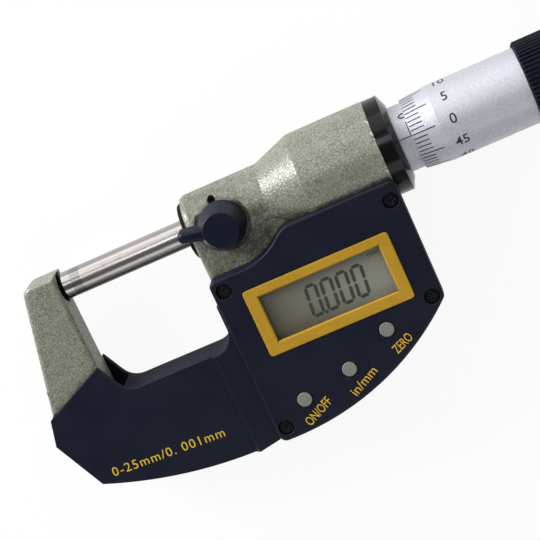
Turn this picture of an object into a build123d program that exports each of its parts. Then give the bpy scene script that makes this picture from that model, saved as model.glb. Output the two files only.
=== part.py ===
from build123d import *
from math import cos, degrees, pi, radians, sin, sqrt, tan
import os

os.makedirs("parts", exist_ok=True)

# A digital outside micrometer, 0 to 25 mm, lying on its back with the display up.
# The origin is the centre of the anvil's measuring face, +X runs along the spindle
# towards the thimble, +Y points away from the bow and +Z out of the display.
# Every size is in millimetres. Radii are used for whatever is turned.

# Measuring jaw
spindle_r = 3.25
carbide_length = 1.25
closed_gap = 0.02
travel = 25.0
throat_depth = 28.0
throat_right = 28.0
anvil_reach = 4.2

# Clearances
seat_fit = 0.02
running_fit = 0.05
slip_fit = 0.10
parting_gap = 0.15
free_gap = 0.30

# Cast frame
arm_half = 4.5
arm_top = 3.8
arm_back_x = -13.25
arm_back_slope = 0.231
arm_corner_r = 2.6
arm_edge_r = 1.1
lug_left = 29.3
lug_r = 8.3
lug_end_r = 1.4
cone_left = 48.8
barrel_left = 57.9
barrel_right = 76.7
barrel_r = 11.6
web_half = 7.5
web_bottom = -17.0
web_right = 76.2
web_edge_r = 1.2
encoder_bore_r = 9.8
encoder_bore_left = 60.0
anvil_root_r = 3.75
anvil_root_depth = 0.6
anvil_embedded = 7.2
tray_top = 2.6
tray_floor = -1.5
tray_ledge = 2.5

# Plastic covers
cover_wall = 1.5
cover_half = 6.0
apex_y = -19.9
cover_shoulder = (-19.8, -27.3)
cover_elbow = (-21.4, -33.6)
heel_x = -15.3
sole_bottom = (22.9, -53.4)
sole_r = 107.6
wedge_angle = 63.0
throat_corner_r = 5.0
pocket_right = -0.4
pocket_depth = 4.2
parting_bevel = 0.25
cover_right = 75.8
cover_top = -17.3
cover_corner_r = 1.5
step_left = 21.5
step_run = 1.2
hump_left = 33.0
hump_depth = 9.5
hump_edge_r = 1.0

# Display housing
deck_left = 29.1
deck_right = 77.0
deck_top_y = -5.2
deck_low_y = -10.5
deck_bottom = (32.6, -52.1)
deck_r = 64.9
deck_corner_r = 1.7
deck_edge_r = 0.7
deck_height = 12.0
deck_plate = 2.2
deck_wall = 2.8
swell_left = 37.6
swell_angle = 41.0
swell_r = 15.4
seat_height = web_half
gasket_thickness = 0.3
gasket_width = 1.1
gasket_inset = 1.5
cover_inset = 0.5
upper_screws_at = ((31.9, -13.6), (74.45, -9.5))
corner_screw_x = 74.3
corner_screw_inset = 2.63
heel_screw_x = 31.5
heel_screw_inset = 3.24

# Bezel, window and display
bezel_left = 35.35
bezel_top = -15.45
bezel_width = 35.6
bezel_depth = 16.6
bezel_corner_r = 0.9
bezel_thickness = 1.1
bezel_proud = 0.3
bezel_edge_r = 0.25
bezel_bevel = 0.3
view_left = 38.45
view_top = -17.9
view_width = 29.5
view_depth = 11.3
window_thickness = 1.0
window_lap = 1.2
aperture_lap = 0.6
lcd_thickness = 1.4
lcd_lap = 1.5
board_thickness = 1.0
board_inset = 4.1
board_left = 34.0
board_right = 73.0
connector_width = 1.6

# Buttons, on an arc inside the housing's own lower edge
button_inset = 7.55
button_first_angle = -84.4
button_pitch_angle = 12.6
button_r = 1.75
button_proud = 0.35
button_travel = 0.5
button_flange_r = 2.4
button_flange = 0.8
button_edge_r = 0.25
button_stem_r = 1.0
button_clearance = 0.2
switch_side = 3.6
switch_corner_r = 0.4
switch_height = 1.2
switch_dome_r = 0.9
switch_dome = 0.4

# Small screws
screw_r = 0.9
screw_head_r = 1.75
screw_head = 1.0
screw_head_edge_r = 0.35
screw_head_sunk = 0.4
recess_half = 0.9
recess_depth = 0.5
boss_r = 2.6
housing_screw_tip = 5.6
cover_screw_tip = -2.0
cover_screws_at = ((-13.0, -37.0), (18.0, -46.5))
hump_screws_at = ((38.5, -45.5), (70.5, -21.5))

# Battery
battery_at = (57.0, -27.5)
battery_r = 5.8
battery_height = 5.4
cap_r = 7.7
cap_disc = 1.3
cap_skirt = 1.2
cap_lug_r = 8.5
cap_lug = 0.8
cap_lug_angle = 36.0
cap_turn = 60.0
cap_slot = 1.6
well_wall = 1.0
seal_cord_r = 0.4
cap_slot_depth = 0.6
cap_rim = 0.3
cap_cup_r = 6.2
battery_edge = 0.4
battery_foot_inset = 0.6
battery_lift = 0.3
contact_offset = 2.0
contact_width = 4.0
contact_reach = 4.2
contact_sheet = 0.3

# Spindle lock
lock_x = 37.6
lock_disc_r = 5.46
lock_face_r = 4.05
lock_spot_z = 7.2
lock_spot_r = 6.4
lock_rim_z = 11.4
lock_top_z = 14.7
lever_tip = (29.15, 1.62)
lever_root = (36.6, 0.0)
lever_tip_r = 1.5
lever_root_r = 1.8
lever_low_z = 10.4
lever_high_z = 14.2
lever_edge_r = 1.1
lock_screw_r = 2.0
plunger_height = 1.8
plunger_gap = 0.15
set_screw_at = (37.2, 5.7)
set_screw_r = 0.95
set_screw_bottom = 2.4
set_screw_length = 2.6
set_screw_socket = 1.0

# Spindle seal
seal_flange_r = 6.8
seal_flange = 0.9
seal_hub_r = 4.9
seal_hub = 2.4

# Sleeves
collar_r = 11.5
collar_right = 80.15
collar_nose = 81.3
collar_nose_r = 8.7
flange_left = 68.3
flange_right = 72.8
sleeve_r = 7.75
sleeve_wall = 0.8
sleeve_left = 73.2
sleeve_right = 110.0
guide_right = 117.0
guide_neck_left = 110.3
guide_neck_r = 5.6
guide_slot = 0.6
guide_slot_left = 104.0
nut_r = 7.3
nut_left = 111.0
nut_right = 115.5

# Encoder
stator_thickness = 1.2
encoder_gap = 0.5
rotor_disc = 1.0
rotor_disc_r = 9.3
rotor_hub_r = 4.9
stator_bore_r = 5.3
key_inset = 2.1
key_r = 0.55
keyway_depth = 0.95

# Thimble and ratchet
thimble_left = 84.45
thimble_lip_r = 8.25
bevel_right = 90.9
thimble_r = 9.0
thimble_right = 121.5
thimble_web = 3.5
taper_large_r = 3.15
taper_small_r = 2.75
stub_r = 2.4
stub_right = 127.0
stub_bore_r = 1.25
stub_bore_left = 119.0
grip_left = 112.05
grip_r = 10.1
grip_right = 124.0
grip_bore_end = 0.05
flute_pitch = 1.05
flute_depth = 0.45
wheel_r = 4.7
wheel_right = 124.6
tooth_height = 0.7
tooth_count = 12
pawl_right = 127.2
pawl_lug = 0.8
knob_left = 124.4
knob_right = 134.2
knob_r = 7.5
knob_bore_r = 5.2
knob_web_left = 129.6
knob_web = 1.2
shoulder_r = 1.9
ratchet_head_r = 3.4
ratchet_head = 1.9
spring_wire_r = 0.25
spring_turns = 2.75

# Worked out from the sizes above
arm_face = -anvil_reach
throat_floor = -throat_depth
spindle_bore_r = spindle_r + running_fit
seat_top = seat_height + gasket_thickness
head_base = deck_height - screw_head - screw_head_sunk
plate_under = deck_height - deck_plate
bezel_seat = deck_height + bezel_proud - bezel_thickness
window_seat = bezel_seat - window_thickness
lcd_bottom = plate_under - lcd_thickness
board_top = tray_top + board_thickness
frame_inset = cover_wall + free_gap
spindle_left = closed_gap + carbide_length
web_left = thimble_right - thimble_web
rotor_right = flange_left - free_gap
key_x = rotor_right - key_inset
sole_centre = (sole_bottom[0], sole_bottom[1] + sole_r)
deck_centre = (deck_bottom[0], deck_bottom[1] + deck_r)
board_r = deck_r - board_inset
button_arc_r = deck_r - button_inset


def on_arc(centre, radius, x):
    """A point at x on the lower half of a circle."""
    return (x, centre[1] - sqrt(radius**2 - (x - centre[0]) ** 2))


lower_screws_at = (
    on_arc(deck_centre, deck_r - corner_screw_inset, corner_screw_x),
    on_arc(deck_centre, deck_r - heel_screw_inset, heel_screw_x),
)
housing_screws_at = upper_screws_at + lower_screws_at


def arm_back(y):
    return arm_back_x + arm_back_slope * y


def polygon(height, *points):
    with BuildSketch(Plane.XY.offset(height)) as face:
        with BuildLine():
            Polyline(*points, close=True)
        make_face()
    return face.sketch


def disc(height, radius, *centres):
    with BuildSketch(Plane.XY.offset(height)) as face:
        with Locations(*centres):
            Circle(radius)
    return face.sketch


def slab(height, left, right, bottom, top, corner=0.0):
    with BuildSketch(Plane.XY.offset(height)) as face:
        with Locations(((left + right) / 2, (bottom + top) / 2)):
            if corner:
                RectangleRounded(right - left, top - bottom, corner)
            else:
                Rectangle(right - left, top - bottom)
    return face.sketch


def sectors(height, centre, radius, first_angle, spread):
    """Two slices of a disc, opposite each other."""
    half = radians(spread / 2)
    with BuildSketch(Plane.XY.offset(height)) as face:
        for middle in (radians(first_angle), radians(first_angle) + pi):
            rim = [
                (centre[0] + radius * cos(middle + side), centre[1] + radius * sin(middle + side))
                for side in (-half, 0, half)
            ]
            with BuildLine():
                Polyline(rim[2], centre, rim[0])
                ThreePointArc(*rim)
            make_face()
    return face.sketch


def turned(*points, mode=Mode.ADD):
    """Add a closed (x, radius) outline, turned about the spindle's axis."""
    with BuildSketch(Plane.XY) as profile:
        with BuildLine():
            Polyline(*points, close=True)
        make_face()
    revolve(profile.sketch, axis=Axis.X, mode=mode)


def bored(left, right, radius):
    turned((left, 0), (right, 0), (right, radius), (left, radius), mode=Mode.SUBTRACT)


def cover_face(height, inset=0.0):
    """The outline that both covers share, drawn from the arm down and round to the right."""
    heel = on_arc(sole_centre, sole_r, heel_x)
    low = on_arc(sole_centre, sole_r, sole_centre[0])
    under_r = deck_r - cover_inset
    join = on_arc(deck_centre, under_r, deck_centre[0])
    corner = on_arc(deck_centre, under_r, cover_right)
    wedge_foot = arm_face + (apex_y - throat_floor) / tan(radians(wedge_angle))
    floor_left = (wedge_foot, throat_floor)
    floor_right = (throat_right, throat_floor)
    top_right = (cover_right, cover_top)
    with BuildSketch(Plane.XY.offset(height)) as face:
        with BuildLine():
            Polyline((arm_face, apex_y), cover_shoulder, cover_elbow, heel)
            ThreePointArc(heel, on_arc(sole_centre, sole_r, (heel_x + low[0]) / 2), low)
            Line(low, join)
            ThreePointArc(join, on_arc(deck_centre, under_r, (join[0] + corner[0]) / 2), corner)
            Polyline(
                corner, top_right, (throat_right, cover_top), floor_right, floor_left, (arm_face, apex_y),
            )
        make_face()
        inner = face.vertices().sort_by_distance((*floor_left, height))[:1]
        inner += face.vertices().sort_by_distance((*floor_right, height))[:1]
        fillet(inner, throat_corner_r)
        fillet(face.vertices().sort_by_distance((*corner, height))[:1], cover_corner_r)
        if inset:
            offset(amount=-inset, kind=Kind.INTERSECTION)
    return face.sketch


def deck_face(height, inset=0.0):
    """The display housing's outline, with the swell that steps over the barrel."""
    turn = radians(swell_angle)
    rise = deck_top_y - deck_low_y
    small_r = rise / (1 - cos(turn)) - swell_r
    middle = (swell_left + swell_r * sin(turn), deck_low_y + swell_r * (1 - cos(turn)))
    swell_right = middle[0] + small_r * sin(turn)
    corner = on_arc(deck_centre, deck_r, deck_right)
    heel = on_arc(deck_centre, deck_r, deck_left)
    corners = ((deck_left, deck_low_y), (deck_right, deck_top_y), corner, heel)
    with BuildSketch(Plane.XY.offset(height)) as face:
        with BuildLine():
            Line(corners[0], (swell_left, deck_low_y))
            CenterArc((swell_left, deck_low_y + swell_r), swell_r, -90, swell_angle)
            CenterArc((swell_right, deck_top_y - small_r), small_r, 90 + swell_angle, -swell_angle)
            Polyline((swell_right, deck_top_y), corners[1], corner)
            ThreePointArc(corner, on_arc(deck_centre, deck_r, (corner[0] + heel[0]) / 2), heel)
            Line(heel, corners[0])
        make_face()
        sharp = [face.vertices().sort_by_distance((*c, height))[0] for c in corners]
        fillet(sharp, deck_corner_r)
        if inset:
            offset(amount=-inset, kind=Kind.INTERSECTION)
    return face.sketch


def barrel_envelope(gap, mode=Mode.SUBTRACT):
    """The lug, cone and barrel with a gap all round, to clear what sits over them."""
    turned(
        (lug_left, 0), (deck_right + 1, 0), (deck_right + 1, barrel_r + gap),
        (barrel_left, barrel_r + gap), (cone_left, lug_r + gap), (lug_left, lug_r + gap),
        mode=mode,
    )


def fluted_outline(x, radius):
    """A circle across the spindle's axis with V grooves cut into it."""
    count = round(2 * pi * radius / flute_pitch)
    with BuildSketch(Plane.YZ.offset(x)) as face:
        Circle(radius)
        with PolarLocations(radius, count):
            Rectangle(sqrt(2) * flute_depth, sqrt(2) * flute_depth, rotation=45, mode=Mode.SUBTRACT)
    return face.sketch


def cross_recess(top, half_width, depth, *centres):
    """The crossed slots of a screw head, cut downwards from its top."""
    with BuildSketch(Plane.XY.offset(top)) as cross:
        with Locations(*centres):
            Rectangle(2.2 * half_width, 0.5 * half_width)
            Rectangle(0.5 * half_width, 2.2 * half_width)
    extrude(cross.sketch, amount=-depth, mode=Mode.SUBTRACT)


# Frame: the C-shaped casting, with its lug, cone, barrel and the tray behind the display
arm_low = cover_shoulder[1] + 2 * parting_gap
tongue_left = cover_shoulder[0] + frame_inset
tongue_low = throat_floor - 6
with BuildPart() as frame:
    with BuildSketch(Plane.XY.offset(-arm_half)) as arm_outline:
        with BuildLine():
            Polyline(
                (arm_face, arm_top), (arm_back(arm_top), arm_top), (arm_back(arm_low), arm_low),
                (arm_face, apex_y + parting_gap), close=True,
            )
        make_face()
        top_corner = (arm_back(arm_top), arm_top, -arm_half)
        fillet(arm_outline.vertices().sort_by_distance(top_corner)[:1], arm_corner_r)
    extrude(amount=2 * arm_half)
    rims = frame.edges().filter_by(lambda e: abs(abs(e.center().Z) - arm_half) < 0.01)
    seen = rims.filter_by(lambda e: e.center().Y > apex_y - 2 or e.center().X < -13)
    fillet(seen.filter_by(lambda e: abs(e.tangent_at(0.5).Y) > 0.5 or e.center().Y > 0), arm_edge_r)
    extrude(slab(-arm_half, tongue_left, arm_face, tongue_low, apex_y - 1), amount=2 * arm_half)
    extrude(cover_face(-arm_half, frame_inset), amount=2 * arm_half)
    extrude(
        slab(-arm_half, arm_face, pocket_right + cover_wall, throat_floor - pocket_depth, apex_y),
        amount=2 * arm_half, mode=Mode.SUBTRACT,
    )
    extrude(
        slab(-arm_half, arm_face - anvil_reach, arm_face, tongue_low, apex_y + parting_gap),
        amount=2 * arm_half,
    )
    extrude(slab(-web_half, lug_left, web_right, web_bottom, 0), amount=2 * web_half)
    jaw_edges = frame.edges().filter_by(
        lambda e: abs(e.center().X - lug_left) < 0.01 and abs(abs(e.center().Z) - web_half) < 0.01
    )
    fillet(jaw_edges, web_edge_r)
    extrude(
        slab(
            -arm_half, throat_right + frame_inset, cover_right - frame_inset, web_bottom - 4, web_bottom + 1,
        ),
        amount=2 * arm_half,
    )
    turned(
        (lug_left, 0), (barrel_right, 0), (barrel_right, barrel_r), (barrel_left, barrel_r),
        (cone_left, lug_r), (lug_left + lug_end_r, lug_r),
        (lug_left + 0.3 * lug_end_r, lug_r - 0.3 * lug_end_r),
        (lug_left, lug_r - lug_end_r),
    )
    # Bores along the spindle
    bored(lug_left - 1, barrel_right + 1, spindle_bore_r)
    bored(lug_left - 1, lug_left + seal_hub + parting_gap, seal_hub_r + running_fit)
    bored(encoder_bore_left, barrel_right + 1, encoder_bore_r)
    bored(arm_face - anvil_embedded - seat_fit, 0, spindle_r + seat_fit)
    bored(arm_face - anvil_root_depth, 0, anvil_root_r)
    # Spot face and hole for the lock
    extrude(disc(lock_spot_z, lock_spot_r, (lock_x, 0)), amount=web_half, mode=Mode.SUBTRACT)
    extrude(disc(0, lock_screw_r + running_fit, (lock_x, 0)), amount=lock_top_z, mode=Mode.SUBTRACT)
    extrude(disc(set_screw_bottom, set_screw_r + seat_fit, set_screw_at), amount=lug_r, mode=Mode.SUBTRACT)
    # Pocket for the circuit board, the tray under it and the opening for the battery
    with BuildSketch(Plane.XY.offset(tray_top)) as board_pocket:
        add(slab(0, board_left - free_gap, board_right + free_gap, -60, cover_top))
        add(disc(0, board_r + free_gap, deck_centre), mode=Mode.INTERSECT)
    extrude(amount=arm_half, mode=Mode.SUBTRACT)
    with BuildSketch(Plane.XY.offset(tray_floor)) as tray:
        add(slab(0, board_left + tray_ledge, board_right - tray_ledge, -60, cover_top - 1.5 * tray_ledge))
        add(disc(0, board_r - tray_ledge, deck_centre), mode=Mode.INTERSECT)
        fillet(tray.vertices(), 1.5)
    extrude(amount=tray_top - tray_floor, mode=Mode.SUBTRACT)
    extrude(disc(-arm_half - 1, battery_r + slip_fit, battery_at), amount=2 * arm_half, mode=Mode.SUBTRACT)
    # Screw holes
    extrude(
        disc(housing_screw_tip - free_gap, screw_r + seat_fit, *housing_screws_at),
        amount=deck_height, mode=Mode.SUBTRACT,
    )
    extrude(
        disc(-hump_depth, screw_r + seat_fit, *cover_screws_at, *hump_screws_at),
        amount=hump_depth + cover_screw_tip + parting_gap, mode=Mode.SUBTRACT,
    )
frame.part.label = "frame"
export_step(frame.part, "parts/frame.step")


# Anvil and the hard tips of anvil and spindle
with BuildPart() as anvil:
    turned(
        (arm_face - anvil_embedded, 0), (-carbide_length, 0), (-carbide_length, spindle_r),
        (arm_face - anvil_embedded, spindle_r),
    )
anvil.part.label = "anvil"
export_step(anvil.part, "parts/anvil.step")

with BuildPart() as anvil_tip:
    turned((-carbide_length, 0), (0, 0), (0, spindle_r), (-carbide_length, spindle_r))
anvil_tip.part.label = "anvil_tip"
export_step(anvil_tip.part, "parts/anvil_tip.step")

with BuildPart() as spindle_tip:
    turned((closed_gap, 0), (spindle_left, 0), (spindle_left, spindle_r), (closed_gap, spindle_r))
spindle_tip.part.label = "spindle_tip"
export_step(spindle_tip.part, "parts/spindle_tip.step")

# Spindle: ground rod, long keyway for the encoder's key, taper for the thimble, threaded stub
with BuildPart() as spindle:
    turned(
        (spindle_left, 0), (stub_right, 0), (stub_right, stub_r), (thimble_right, stub_r),
        (thimble_right, taper_small_r), (web_left, taper_large_r), (web_left, spindle_r),
        (spindle_left, spindle_r),
    )
    keyway_left = key_x - travel - 1
    keyway_right = key_x + 1
    with BuildSketch(Plane.XZ.offset(spindle_r - keyway_depth)) as keyway:
        with Locations(((keyway_left + keyway_right) / 2, 0)):
            SlotOverall(keyway_right - keyway_left, 2 * (key_r + slip_fit))
    extrude(amount=spindle_r, mode=Mode.SUBTRACT)
    bored(stub_bore_left, stub_right + 1, stub_bore_r)
spindle.part.label = "spindle"
export_step(spindle.part, "parts/spindle.step")

# Wiper seal in the mouth of the spindle's bore
with BuildPart() as spindle_seal:
    turned(
        (lug_left - seal_flange, spindle_bore_r), (lug_left + seal_hub, spindle_bore_r),
        (lug_left + seal_hub, seal_hub_r), (lug_left, seal_hub_r), (lug_left, seal_flange_r),
        (lug_left - 0.6 * seal_flange, seal_flange_r), (lug_left - seal_flange, seal_flange_r - 0.3),
    )
spindle_seal.part.label = "spindle_seal"
export_step(spindle_seal.part, "parts/spindle_seal.step")


# Spindle lock: a plastic lever on a threaded pin that presses a brass plunger on the spindle
lock_axis = Plane((lock_x, 0, 0), x_dir=(1, 0, 0), z_dir=(0, -1, 0))
lever_under = lock_spot_z + parting_gap
plunger_bottom = spindle_r + plunger_gap
plunger_top = plunger_bottom + plunger_height
lock_pin_top = lock_top_z - 1.6
with BuildPart() as lock_lever:
    with BuildSketch(lock_axis) as knob_half:
        with BuildLine():
            Polyline(
                (0, lever_under), (lock_disc_r, lever_under), (lock_disc_r, lock_rim_z),
                (lock_face_r, lock_top_z),
                (0, lock_top_z), close=True,
            )
        make_face()
    revolve(axis=Axis((lock_x, 0, 0), (0, 0, 1)))
    fillet(lock_lever.edges().group_by(Axis.Z)[-1], 0.25)
    with BuildSketch(Plane.XY.offset(lever_low_z)) as lever_outline:
        with Locations(lever_tip):
            Circle(lever_tip_r)
        with Locations(lever_root):
            Circle(lever_root_r)
        make_hull()
    extrude(amount=lever_high_z - lever_low_z)
    lever_top = lock_lever.edges().filter_by(lambda e: abs(e.center().Z - lever_high_z) < 0.01)
    fillet(lever_top.filter_by(lambda e: e.center().X < lock_x - lock_disc_r + 1), lever_edge_r)
    extrude(
        disc(lever_under, lock_screw_r, (lock_x, 0)), amount=lock_pin_top - lever_under, mode=Mode.SUBTRACT,
    )
lock_lever.part.label = "lock_lever"
export_step(lock_lever.part, "parts/lock_lever.step")

with BuildPart() as lock_pin:
    extrude(
        disc(plunger_top + running_fit, lock_screw_r, (lock_x, 0)),
        amount=lock_pin_top - plunger_top - running_fit,
    )
    chamfer(lock_pin.edges().group_by(Axis.Z)[0], 0.3)
lock_pin.part.label = "lock_pin"
export_step(lock_pin.part, "parts/lock_pin.step")

with BuildPart() as lock_plunger:
    extrude(disc(plunger_bottom, lock_screw_r, (lock_x, 0)), amount=plunger_height)
    chamfer(lock_plunger.edges().group_by(Axis.Z)[0], 0.4)
lock_plunger.part.label = "lock_plunger"
export_step(lock_plunger.part, "parts/lock_plunger.step")

with BuildPart() as lock_set_screw:
    extrude(disc(set_screw_bottom, set_screw_r, set_screw_at), amount=set_screw_length)
    with BuildSketch(Plane.XY.offset(set_screw_bottom + set_screw_length)) as socket:
        with Locations(set_screw_at):
            RegularPolygon(0.5 * set_screw_r, 6)
    extrude(amount=-set_screw_socket, mode=Mode.SUBTRACT)
lock_set_screw.part.label = "lock_set_screw"
export_step(lock_set_screw.part, "parts/lock_set_screw.step")


# Front cover: the moulded shell over the lower bow, stepped up to the seat of the display housing
bay_left = hump_left + 0.2
bay_inset = gasket_inset + gasket_width + 0.6
arm_gate = (
    (tongue_left - parting_gap, cover_shoulder[1] + 3), (tongue_left - parting_gap, tongue_low),
    (arm_face + parting_gap, tongue_low), (arm_face + parting_gap, throat_floor),
    (pocket_right, throat_floor), (pocket_right, apex_y), (arm_face + parting_gap, apex_y + 3),
)
with BuildPart() as front_cover:
    extrude(cover_face(0), amount=seat_height)
    chamfer(front_cover.faces().sort_by(Axis.Z)[0].edges(), parting_bevel)
    with BuildSketch(Plane.XZ) as step_profile:
        with BuildLine():
            Polyline(
                (cover_elbow[0] - 5, cover_half), (step_left, cover_half),
                (step_left + step_run, seat_height),
                (step_left + step_run, seat_height + 5), (cover_elbow[0] - 5, seat_height + 5), close=True,
            )
        make_face()
    extrude(amount=70, mode=Mode.SUBTRACT)
    extrude(cover_face(0, cover_wall), amount=arm_half, mode=Mode.SUBTRACT)
    extrude(polygon(0, *arm_gate), amount=arm_half, mode=Mode.SUBTRACT)
    extrude(
        slab(
            0, throat_right + cover_wall, cover_right - cover_wall, cover_top - 2 * cover_wall, cover_top + 1,
        ),
        amount=arm_half, mode=Mode.SUBTRACT,
    )
    with BuildSketch(Plane.XY) as bay:
        add(deck_face(0, bay_inset))
        add(slab(0, bay_left, deck_right, -70, cover_top + 1), mode=Mode.INTERSECT)
    extrude(amount=2 * seat_height, mode=Mode.SUBTRACT)
    with BuildSketch(Plane.XY.offset(arm_half)) as screw_bosses:
        add(disc(0, boss_r, *lower_screws_at))
        add(cover_face(0), mode=Mode.INTERSECT)
    extrude(amount=seat_height - arm_half)
    extrude(disc(0, screw_r + seat_fit, *housing_screws_at), amount=2 * seat_height, mode=Mode.SUBTRACT)
front_cover.part.label = "front_cover"
export_step(front_cover.part, "parts/front_cover.step")


# Rear cover: the matching shell, deeper behind the display for the battery well
well_r = cap_lug_r + slip_fit
hump_floor = -hump_depth + cover_wall
with BuildPart() as rear_cover:
    extrude(cover_face(-cover_half), amount=cover_half)
    chamfer(rear_cover.faces().sort_by(Axis.Z)[-1].edges(), parting_bevel)
    with BuildSketch(Plane.XY.offset(-hump_depth)) as hump:
        add(cover_face(0))
        add(slab(0, hump_left, cover_right, -70, cover_top), mode=Mode.INTERSECT)
    extrude(amount=hump_depth - cover_half + 1)
    chamfer(rear_cover.faces().sort_by(Axis.Z)[0].edges(), hump_edge_r)
    extrude(cover_face(-arm_half, cover_wall), amount=arm_half, mode=Mode.SUBTRACT)
    mirrored_gate = polygon(-arm_half, *arm_gate)
    extrude(mirrored_gate, amount=arm_half, mode=Mode.SUBTRACT)
    with BuildSketch(Plane.XY.offset(hump_floor)) as hollow:
        add(cover_face(0, cover_wall))
        add(slab(0, hump_left + cover_wall, cover_right, -70, cover_top), mode=Mode.INTERSECT)
    extrude(amount=hump_depth - cover_wall, mode=Mode.SUBTRACT)
    extrude(
        slab(
            -arm_half, throat_right + cover_wall, cover_right - cover_wall, cover_top - 2 * cover_wall,
            cover_top + 1,
        ),
        amount=arm_half, mode=Mode.SUBTRACT,
    )
    extrude(disc(hump_floor, boss_r, *hump_screws_at), amount=-arm_half - hump_floor)
    extrude(disc(hump_floor, well_r + well_wall, battery_at), amount=-arm_half - hump_floor)
    extrude(disc(hump_floor, well_r, battery_at), amount=hump_depth, mode=Mode.SUBTRACT)
    extrude(disc(-hump_depth, cap_r + parting_gap, battery_at), amount=cover_wall, mode=Mode.SUBTRACT)
    extrude(
        sectors(-hump_depth, battery_at, well_r, cap_turn, cap_lug_angle + 6), amount=cover_wall,
        mode=Mode.SUBTRACT,
    )
    extrude(disc(-hump_depth, screw_r + seat_fit, *cover_screws_at, *hump_screws_at), amount=hump_depth,
            mode=Mode.SUBTRACT)
    extrude(
        disc(-cover_half, screw_head_r + slip_fit, *cover_screws_at), amount=screw_head, mode=Mode.SUBTRACT,
    )
    extrude(
        disc(-hump_depth, screw_head_r + slip_fit, *hump_screws_at), amount=screw_head, mode=Mode.SUBTRACT,
    )
rear_cover.part.label = "rear_cover"
export_step(rear_cover.part, "parts/rear_cover.step")


# Display housing: a shallow box with a rounded rim, screwed down at its corners
with BuildPart() as display_housing:
    extrude(deck_face(seat_top), amount=deck_height - seat_top)
    fillet(display_housing.faces().sort_by(Axis.Z)[-1].edges(), deck_edge_r)
    extrude(deck_face(seat_top, deck_wall), amount=plate_under - seat_top, mode=Mode.SUBTRACT)
    extrude(disc(seat_top, boss_r, *housing_screws_at), amount=plate_under - seat_top)
    with BuildSketch(Plane.XY.offset(seat_top)) as trim:
        add(slab(0, deck_left - 5, deck_right + 5, -70, 0))
        add(deck_face(0, 0.01), mode=Mode.SUBTRACT)
    extrude(amount=plate_under - seat_top, mode=Mode.SUBTRACT)
    barrel_envelope(parting_gap)
    bezel_right = bezel_left + bezel_width
    bezel_low = bezel_top - bezel_depth
    view_right = view_left + view_width
    view_low = view_top - view_depth
    extrude(
        slab(
            bezel_seat, bezel_left - slip_fit, bezel_right + slip_fit, bezel_low - slip_fit,
            bezel_top + slip_fit,
            bezel_corner_r,
        ),
        amount=deck_height, mode=Mode.SUBTRACT,
    )
    window_gap = window_lap + slip_fit
    extrude(
        slab(
            window_seat, view_left - window_gap, view_right + window_gap, view_low - window_gap,
            view_top + window_gap,
        ),
        amount=deck_height, mode=Mode.SUBTRACT,
    )
    extrude(
        slab(seat_top, view_left - aperture_lap, view_right + aperture_lap, view_low - aperture_lap,
             view_top + aperture_lap),
        amount=deck_height, mode=Mode.SUBTRACT,
    )
    button_angles = [button_first_angle + button_pitch_angle * i for i in range(3)]
    buttons_at = [
        (deck_centre[0] + button_arc_r * cos(radians(a)), deck_centre[1] + button_arc_r * sin(radians(a)))
        for a in button_angles
    ]
    extrude(disc(seat_top, button_r + button_clearance, *buttons_at), amount=deck_height, mode=Mode.SUBTRACT)
    extrude(disc(seat_top, screw_r + slip_fit, *housing_screws_at), amount=deck_height, mode=Mode.SUBTRACT)
    extrude(
        disc(head_base, screw_head_r + slip_fit, *housing_screws_at),
        amount=deck_height, mode=Mode.SUBTRACT,
    )
display_housing.part.label = "display_housing"
export_step(display_housing.part, "parts/display_housing.step")

# Gasket between the housing and its seat
with BuildPart() as display_gasket:
    extrude(deck_face(seat_height, gasket_inset), amount=gasket_thickness)
    extrude(deck_face(seat_height, gasket_inset + gasket_width), amount=gasket_thickness, mode=Mode.SUBTRACT)
    with BuildSketch(Plane.XY.offset(seat_height)) as eyelets:
        add(disc(0, screw_r + gasket_width, *housing_screws_at))
        add(deck_face(0, gasket_inset / 2), mode=Mode.INTERSECT)
    extrude(amount=gasket_thickness)
    extrude(
        disc(seat_height, screw_r + slip_fit, *housing_screws_at), amount=gasket_thickness,
        mode=Mode.SUBTRACT,
    )
    barrel_envelope(seat_fit)
display_gasket.part.label = "display_gasket"
export_step(display_gasket.part, "parts/display_gasket.step")

# Bezel, window, liquid-crystal panel and its rubber connectors
with BuildPart() as bezel:
    extrude(
        slab(bezel_seat, bezel_left, bezel_right, bezel_low, bezel_top, bezel_corner_r),
        amount=bezel_thickness,
    )
    fillet(bezel.faces().sort_by(Axis.Z)[-1].edges(), bezel_edge_r)
    extrude(
        slab(bezel_seat, view_left, view_right, view_low, view_top), amount=bezel_thickness,
        mode=Mode.SUBTRACT,
    )
    inner_rim = bezel.faces().sort_by(Axis.Z)[-1].inner_wires()[0].edges()
    chamfer(inner_rim, bezel_bevel)
bezel.part.label = "bezel"
export_step(bezel.part, "parts/bezel.step")

with BuildPart() as display_window:
    extrude(
        slab(window_seat, view_left - window_lap, view_right + window_lap, view_low - window_lap,
             view_top + window_lap),
        amount=window_thickness,
    )
display_window.part.label = "display_window"
export_step(display_window.part, "parts/display_window.step")

with BuildPart() as lcd_panel:
    extrude(
        slab(lcd_bottom, view_left - lcd_lap, view_right + lcd_lap, view_low - lcd_lap, view_top + lcd_lap),
        amount=lcd_thickness,
    )
lcd_panel.part.label = "lcd_panel"
export_step(lcd_panel.part, "parts/lcd_panel.step")

with BuildPart() as lcd_connectors:
    with BuildSketch(Plane.XY.offset(board_top)) as strips:
        for y in (view_top - 0.6, view_low + 0.6):
            with Locations(((view_left + view_right) / 2, y)):
                Rectangle(view_width + lcd_lap, connector_width)
    extrude(amount=lcd_bottom - board_top)
lcd_connectors.part.label = "lcd_connectors"
export_step(lcd_connectors.part, "parts/lcd_connectors.step")

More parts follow.
